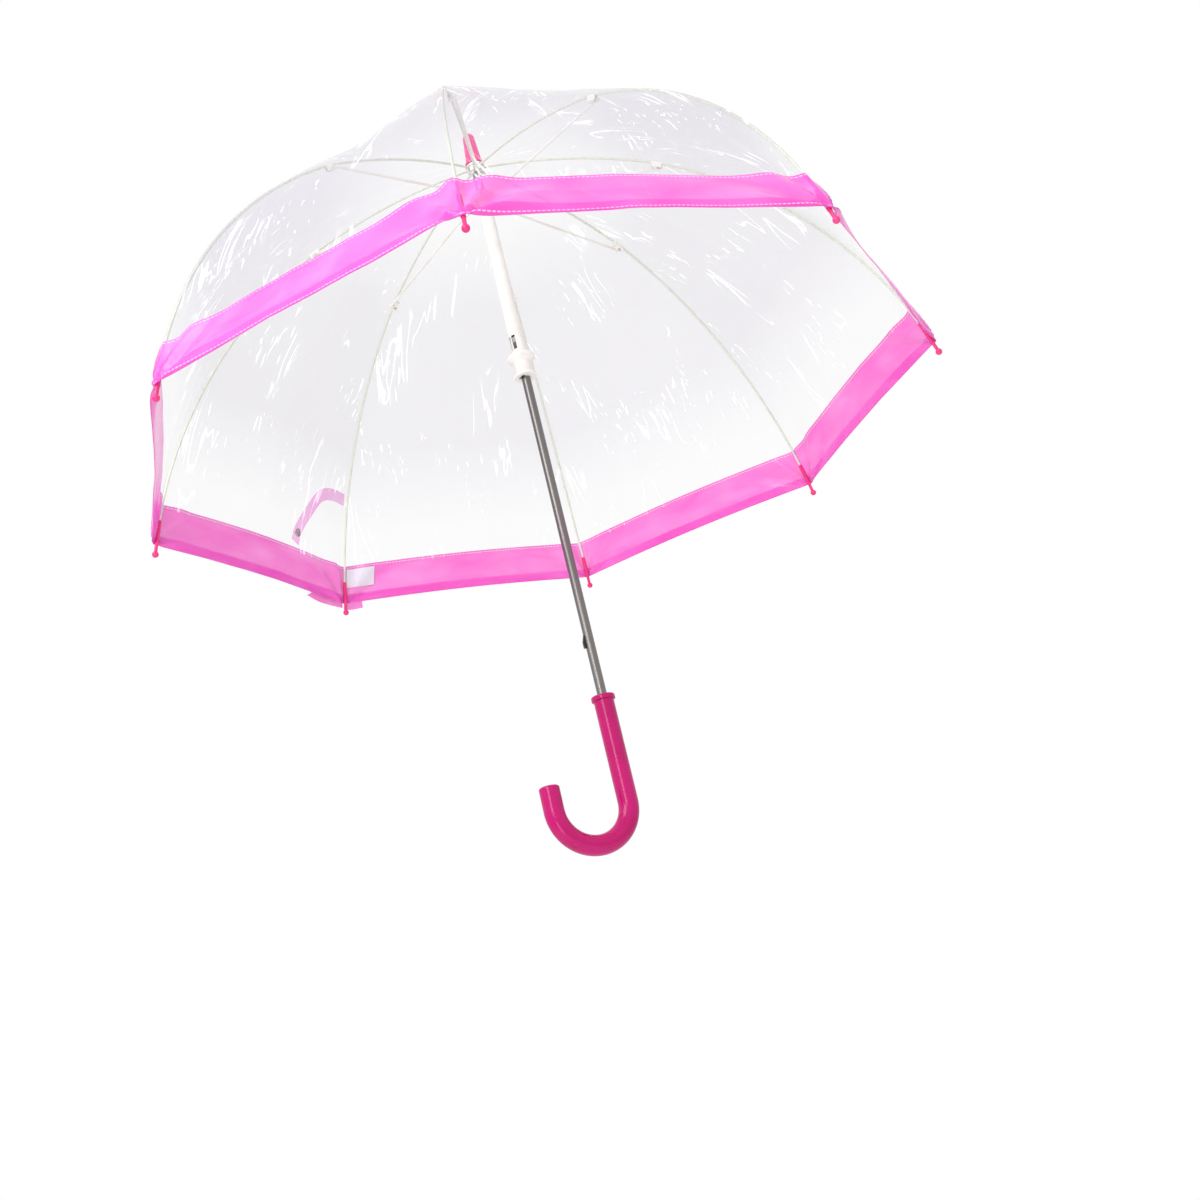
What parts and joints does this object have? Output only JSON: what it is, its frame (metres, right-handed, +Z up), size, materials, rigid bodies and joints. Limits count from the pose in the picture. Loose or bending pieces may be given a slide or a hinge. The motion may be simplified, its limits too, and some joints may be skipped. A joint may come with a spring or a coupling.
{
  "type": "children's dome umbrella",
  "caption": "Clear dome umbrella for a child: sliding runner, folding ribs and stretchers, sprung catches, film canopy with a pink rim band and a hooked handle.",
  "frame": {"origin": "on the shaft's axis, in the middle of the straight grip above the hook", "axes": "+Z up along the shaft to the ferrule, the hook opens to +X"},
  "size_m": [0.6714, 0.6714, 0.6904],
  "materials": {
    "handle": "gloss",
    "ferrule": "gloss",
    "rib_tip": "gloss",
    "white_plastic": "satin",
    "rib": "satin",
    "shaft": "polished",
    "wire": "satin",
    "film": "gloss",
    "band": "gloss"
  },
  "bodies": {
    "frame": {"handle": "handle", "shaft": "shaft", "crown": "white_plastic", "crown_wire": "wire", "ferrule": "ferrule"},
    "runner": {"runner_tube": "white_plastic", "runner_notch": "white_plastic", "runner_wire": "wire", "hand_slide": "white_plastic"},
    "top_catch": {"top_catch": "wire"},
    "bottom_catch": {"bottom_catch": "wire"},
    "rib_upper_1": {"rib_upper_1": "rib"},
    "rib_middle_1": {"rib_middle_1": "rib", "canopy_panel_1": "film"},
    "rib_lower_1": {"rib_lower_1": "rib", "rib_tip_1": "rib_tip"},
    "stretcher_1": {"stretcher_1": "rib"},
    "rib_upper_2": {"rib_upper_2": "rib"},
    "rib_middle_2": {"rib_middle_2": "rib", "canopy_panel_2": "film"},
    "rib_lower_2": {"rib_lower_2": "rib", "rib_tip_2": "rib_tip"},
    "stretcher_2": {"stretcher_2": "rib"},
    "rib_upper_3": {"rib_upper_3": "rib"},
    "rib_middle_3": {"rib_middle_3": "rib", "canopy_panel_3": "film"},
    "rib_lower_3": {"rib_lower_3": "rib", "rib_tip_3": "rib_tip"},
    "stretcher_3": {"stretcher_3": "rib"},
    "rib_upper_4": {"rib_upper_4": "rib"},
    "rib_middle_4": {"rib_middle_4": "rib", "canopy_panel_4": "film"},
    "rib_lower_4": {"rib_lower_4": "rib", "rib_tip_4": "rib_tip"},
    "stretcher_4": {"stretcher_4": "rib"},
    "rib_upper_5": {"rib_upper_5": "rib"},
    "rib_middle_5": {"rib_middle_5": "rib", "canopy_panel_5": "film"},
    "rib_lower_5": {"rib_lower_5": "rib", "rib_tip_5": "rib_tip"},
    "stretcher_5": {"stretcher_5": "rib"},
    "rib_upper_6": {"rib_upper_6": "rib"},
    "rib_middle_6": {"rib_middle_6": "rib", "canopy_panel_6": "film"},
    "rib_lower_6": {"rib_lower_6": "rib", "rib_tip_6": "rib_tip"},
    "stretcher_6": {"stretcher_6": "rib"},
    "rib_upper_7": {"rib_upper_7": "rib"},
    "rib_middle_7": {"rib_middle_7": "rib", "canopy_panel_7": "film"},
    "rib_lower_7": {"rib_lower_7": "rib", "rib_tip_7": "rib_tip", "closing_strap": "band"},
    "stretcher_7": {"stretcher_7": "rib"},
    "rib_upper_8": {"rib_upper_8": "rib"},
    "rib_middle_8": {"rib_middle_8": "rib", "canopy_panel_8": "film"},
    "rib_lower_8": {"rib_lower_8": "rib", "rib_tip_8": "rib_tip"},
    "stretcher_8": {"stretcher_8": "rib"}
  },
  "joints": [
    {"name": "runner_slide", "type": "slide", "parent": "frame", "child": "runner", "axis": [0, 0, 1], "range_m": [-0.28472, 0], "deforming": ["canopy_panel_1", "canopy_panel_2", "canopy_panel_3", "canopy_panel_4", "canopy_panel_5", "canopy_panel_6", "canopy_panel_7", "canopy_panel_8", "closing_strap"]},
    {"name": "top_catch_press", "type": "slide", "parent": "frame", "child": "top_catch", "axis": [-0.7638, -0.6455, 0], "range_m": [0, 0.0017], "stiffness_N_per_m": 1500},
    {"name": "bottom_catch_press", "type": "slide", "parent": "frame", "child": "bottom_catch", "axis": [-0.9965, 0.0837, 0], "range_m": [0, 0.0017], "stiffness_N_per_m": 1500},
    {"name": "rib_hinge_1", "type": "hinge", "parent": "frame", "child": "rib_upper_1", "pos_m": [0.00619, 0.00198, 0.571], "axis": [-0.304, 0.9527, 0], "range_deg": [0, 71.46]},
    {"name": "fork_flex_1", "type": "hinge", "parent": "rib_upper_1", "child": "rib_middle_1", "pos_m": [0.1569, 0.05007, 0.5263], "axis": [-0.304, 0.9527, 0], "range_deg": [-26.03, 0]},
    {"name": "rib_flex_1", "type": "hinge", "parent": "rib_middle_1", "child": "rib_lower_1", "pos_m": [0.27149, 0.08664, 0.41697], "axis": [-0.304, 0.9527, 0], "range_deg": [-23.45, 0]},
    {"name": "stretcher_hinge_1", "type": "hinge", "parent": "runner", "child": "stretcher_1", "pos_m": [0.00857, 0.00274, 0.537], "axis": [-0.304, 0.9527, 0], "range_deg": [-94.05, 0]},
    {"name": "rib_hinge_2", "type": "hinge", "parent": "frame", "child": "rib_upper_2", "pos_m": [0.00298, 0.00578, 0.571], "axis": [-0.8886, 0.4586, 0], "range_deg": [0, 71.46]},
    {"name": "fork_flex_2", "type": "hinge", "parent": "rib_upper_2", "child": "rib_middle_2", "pos_m": [0.07554, 0.14636, 0.5263], "axis": [-0.8886, 0.4586, 0], "range_deg": [-26.03, 0]},
    {"name": "rib_flex_2", "type": "hinge", "parent": "rib_middle_2", "child": "rib_lower_2", "pos_m": [0.1307, 0.25323, 0.41697], "axis": [-0.8886, 0.4586, 0], "range_deg": [-23.45, 0]},
    {"name": "stretcher_hinge_2", "type": "hinge", "parent": "runner", "child": "stretcher_2", "pos_m": [0.00413, 0.008, 0.537], "axis": [-0.8886, 0.4586, 0], "range_deg": [-94.05, 0]},
    {"name": "rib_hinge_3", "type": "hinge", "parent": "frame", "child": "rib_upper_3", "pos_m": [-0.00198, 0.00619, 0.571], "axis": [-0.9527, -0.304, 0], "range_deg": [0, 71.46]},
    {"name": "fork_flex_3", "type": "hinge", "parent": "rib_upper_3", "child": "rib_middle_3", "pos_m": [-0.05007, 0.1569, 0.5263], "axis": [-0.9527, -0.304, 0], "range_deg": [-26.03, 0]},
    {"name": "rib_flex_3", "type": "hinge", "parent": "rib_middle_3", "child": "rib_lower_3", "pos_m": [-0.08664, 0.27149, 0.41697], "axis": [-0.9527, -0.304, 0], "range_deg": [-23.45, 0]},
    {"name": "stretcher_hinge_3", "type": "hinge", "parent": "runner", "child": "stretcher_3", "pos_m": [-0.00274, 0.00857, 0.537], "axis": [-0.9527, -0.304, 0], "range_deg": [-94.05, 0]},
    {"name": "rib_hinge_4", "type": "hinge", "parent": "frame", "child": "rib_upper_4", "pos_m": [-0.00578, 0.00298, 0.571], "axis": [-0.4586, -0.8886, 0], "range_deg": [0, 71.46]},
    {"name": "fork_flex_4", "type": "hinge", "parent": "rib_upper_4", "child": "rib_middle_4", "pos_m": [-0.14636, 0.07554, 0.5263], "axis": [-0.4586, -0.8886, 0], "range_deg": [-26.03, 0]},
    {"name": "rib_flex_4", "type": "hinge", "parent": "rib_middle_4", "child": "rib_lower_4", "pos_m": [-0.25323, 0.1307, 0.41697], "axis": [-0.4586, -0.8886, 0], "range_deg": [-23.45, 0]},
    {"name": "stretcher_hinge_4", "type": "hinge", "parent": "runner", "child": "stretcher_4", "pos_m": [-0.008, 0.00413, 0.537], "axis": [-0.4586, -0.8886, 0], "range_deg": [-94.05, 0]},
    {"name": "rib_hinge_5", "type": "hinge", "parent": "frame", "child": "rib_upper_5", "pos_m": [-0.00619, -0.00198, 0.571], "axis": [0.304, -0.9527, 0], "range_deg": [0, 71.46]},
    {"name": "fork_flex_5", "type": "hinge", "parent": "rib_upper_5", "child": "rib_middle_5", "pos_m": [-0.1569, -0.05007, 0.5263], "axis": [0.304, -0.9527, 0], "range_deg": [-26.03, 0]},
    {"name": "rib_flex_5", "type": "hinge", "parent": "rib_middle_5", "child": "rib_lower_5", "pos_m": [-0.27149, -0.08664, 0.41697], "axis": [0.304, -0.9527, 0], "range_deg": [-23.45, 0]},
    {"name": "stretcher_hinge_5", "type": "hinge", "parent": "runner", "child": "stretcher_5", "pos_m": [-0.00857, -0.00274, 0.537], "axis": [0.304, -0.9527, 0], "range_deg": [-94.05, 0]},
    {"name": "rib_hinge_6", "type": "hinge", "parent": "frame", "child": "rib_upper_6", "pos_m": [-0.00298, -0.00578, 0.571], "axis": [0.8886, -0.4586, 0], "range_deg": [0, 71.46]},
    {"name": "fork_flex_6", "type": "hinge", "parent": "rib_upper_6", "child": "rib_middle_6", "pos_m": [-0.07554, -0.14636, 0.5263], "axis": [0.8886, -0.4586, 0], "range_deg": [-26.03, 0]},
    {"name": "rib_flex_6", "type": "hinge", "parent": "rib_middle_6", "child": "rib_lower_6", "pos_m": [-0.1307, -0.25323, 0.41697], "axis": [0.8886, -0.4586, 0], "range_deg": [-23.45, 0]},
    {"name": "stretcher_hinge_6", "type": "hinge", "parent": "runner", "child": "stretcher_6", "pos_m": [-0.00413, -0.008, 0.537], "axis": [0.8886, -0.4586, 0], "range_deg": [-94.05, 0]},
    {"name": "rib_hinge_7", "type": "hinge", "parent": "frame", "child": "rib_upper_7", "pos_m": [0.00198, -0.00619, 0.571], "axis": [0.9527, 0.304, 0], "range_deg": [0, 71.46]},
    {"name": "fork_flex_7", "type": "hinge", "parent": "rib_upper_7", "child": "rib_middle_7", "pos_m": [0.05007, -0.1569, 0.5263], "axis": [0.9527, 0.304, 0], "range_deg": [-26.03, 0]},
    {"name": "rib_flex_7", "type": "hinge", "parent": "rib_middle_7", "child": "rib_lower_7", "pos_m": [0.08664, -0.27149, 0.41697], "axis": [0.9527, 0.304, 0], "range_deg": [-23.45, 0]},
    {"name": "stretcher_hinge_7", "type": "hinge", "parent": "runner", "child": "stretcher_7", "pos_m": [0.00274, -0.00857, 0.537], "axis": [0.9527, 0.304, 0], "range_deg": [-94.05, 0]},
    {"name": "rib_hinge_8", "type": "hinge", "parent": "frame", "child": "rib_upper_8", "pos_m": [0.00578, -0.00298, 0.571], "axis": [0.4586, 0.8886, 0], "range_deg": [0, 71.46]},
    {"name": "fork_flex_8", "type": "hinge", "parent": "rib_upper_8", "child": "rib_middle_8", "pos_m": [0.14636, -0.07554, 0.5263], "axis": [0.4586, 0.8886, 0], "range_deg": [-26.03, 0]},
    {"name": "rib_flex_8", "type": "hinge", "parent": "rib_middle_8", "child": "rib_lower_8", "pos_m": [0.25323, -0.1307, 0.41697], "axis": [0.4586, 0.8886, 0], "range_deg": [-23.45, 0]},
    {"name": "stretcher_hinge_8", "type": "hinge", "parent": "runner", "child": "stretcher_8", "pos_m": [0.008, -0.00413, 0.537], "axis": [0.4586, 0.8886, 0], "range_deg": [-94.05, 0]}
  ],
  "couplings": [
    {"joint": "rib_hinge_1", "follows": "runner_slide", "rad_per_m": -4.3794},
    {"joint": "fork_flex_1", "follows": "runner_slide", "rad_per_m": 1.5947},
    {"joint": "rib_flex_1", "follows": "runner_slide", "rad_per_m": 1.4364},
    {"joint": "stretcher_hinge_1", "follows": "runner_slide", "rad_per_m": 5.7641},
    {"joint": "rib_hinge_2", "follows": "runner_slide", "rad_per_m": -4.3794},
    {"joint": "fork_flex_2", "follows": "runner_slide", "rad_per_m": 1.5947},
    {"joint": "rib_flex_2", "follows": "runner_slide", "rad_per_m": 1.4364},
    {"joint": "stretcher_hinge_2", "follows": "runner_slide", "rad_per_m": 5.7641},
    {"joint": "rib_hinge_3", "follows": "runner_slide", "rad_per_m": -4.3794},
    {"joint": "fork_flex_3", "follows": "runner_slide", "rad_per_m": 1.5947},
    {"joint": "rib_flex_3", "follows": "runner_slide", "rad_per_m": 1.4364},
    {"joint": "stretcher_hinge_3", "follows": "runner_slide", "rad_per_m": 5.7641},
    {"joint": "rib_hinge_4", "follows": "runner_slide", "rad_per_m": -4.3794},
    {"joint": "fork_flex_4", "follows": "runner_slide", "rad_per_m": 1.5947},
    {"joint": "rib_flex_4", "follows": "runner_slide", "rad_per_m": 1.4364},
    {"joint": "stretcher_hinge_4", "follows": "runner_slide", "rad_per_m": 5.7641},
    {"joint": "rib_hinge_5", "follows": "runner_slide", "rad_per_m": -4.3794},
    {"joint": "fork_flex_5", "follows": "runner_slide", "rad_per_m": 1.5947},
    {"joint": "rib_flex_5", "follows": "runner_slide", "rad_per_m": 1.4364},
    {"joint": "stretcher_hinge_5", "follows": "runner_slide", "rad_per_m": 5.7641},
    {"joint": "rib_hinge_6", "follows": "runner_slide", "rad_per_m": -4.3794},
    {"joint": "fork_flex_6", "follows": "runner_slide", "rad_per_m": 1.5947},
    {"joint": "rib_flex_6", "follows": "runner_slide", "rad_per_m": 1.4364},
    {"joint": "stretcher_hinge_6", "follows": "runner_slide", "rad_per_m": 5.7641},
    {"joint": "rib_hinge_7", "follows": "runner_slide", "rad_per_m": -4.3794},
    {"joint": "fork_flex_7", "follows": "runner_slide", "rad_per_m": 1.5947},
    {"joint": "rib_flex_7", "follows": "runner_slide", "rad_per_m": 1.4364},
    {"joint": "stretcher_hinge_7", "follows": "runner_slide", "rad_per_m": 5.7641},
    {"joint": "rib_hinge_8", "follows": "runner_slide", "rad_per_m": -4.3794},
    {"joint": "fork_flex_8", "follows": "runner_slide", "rad_per_m": 1.5947},
    {"joint": "rib_flex_8", "follows": "runner_slide", "rad_per_m": 1.4364},
    {"joint": "stretcher_hinge_8", "follows": "runner_slide", "rad_per_m": 5.7641}
  ]
}
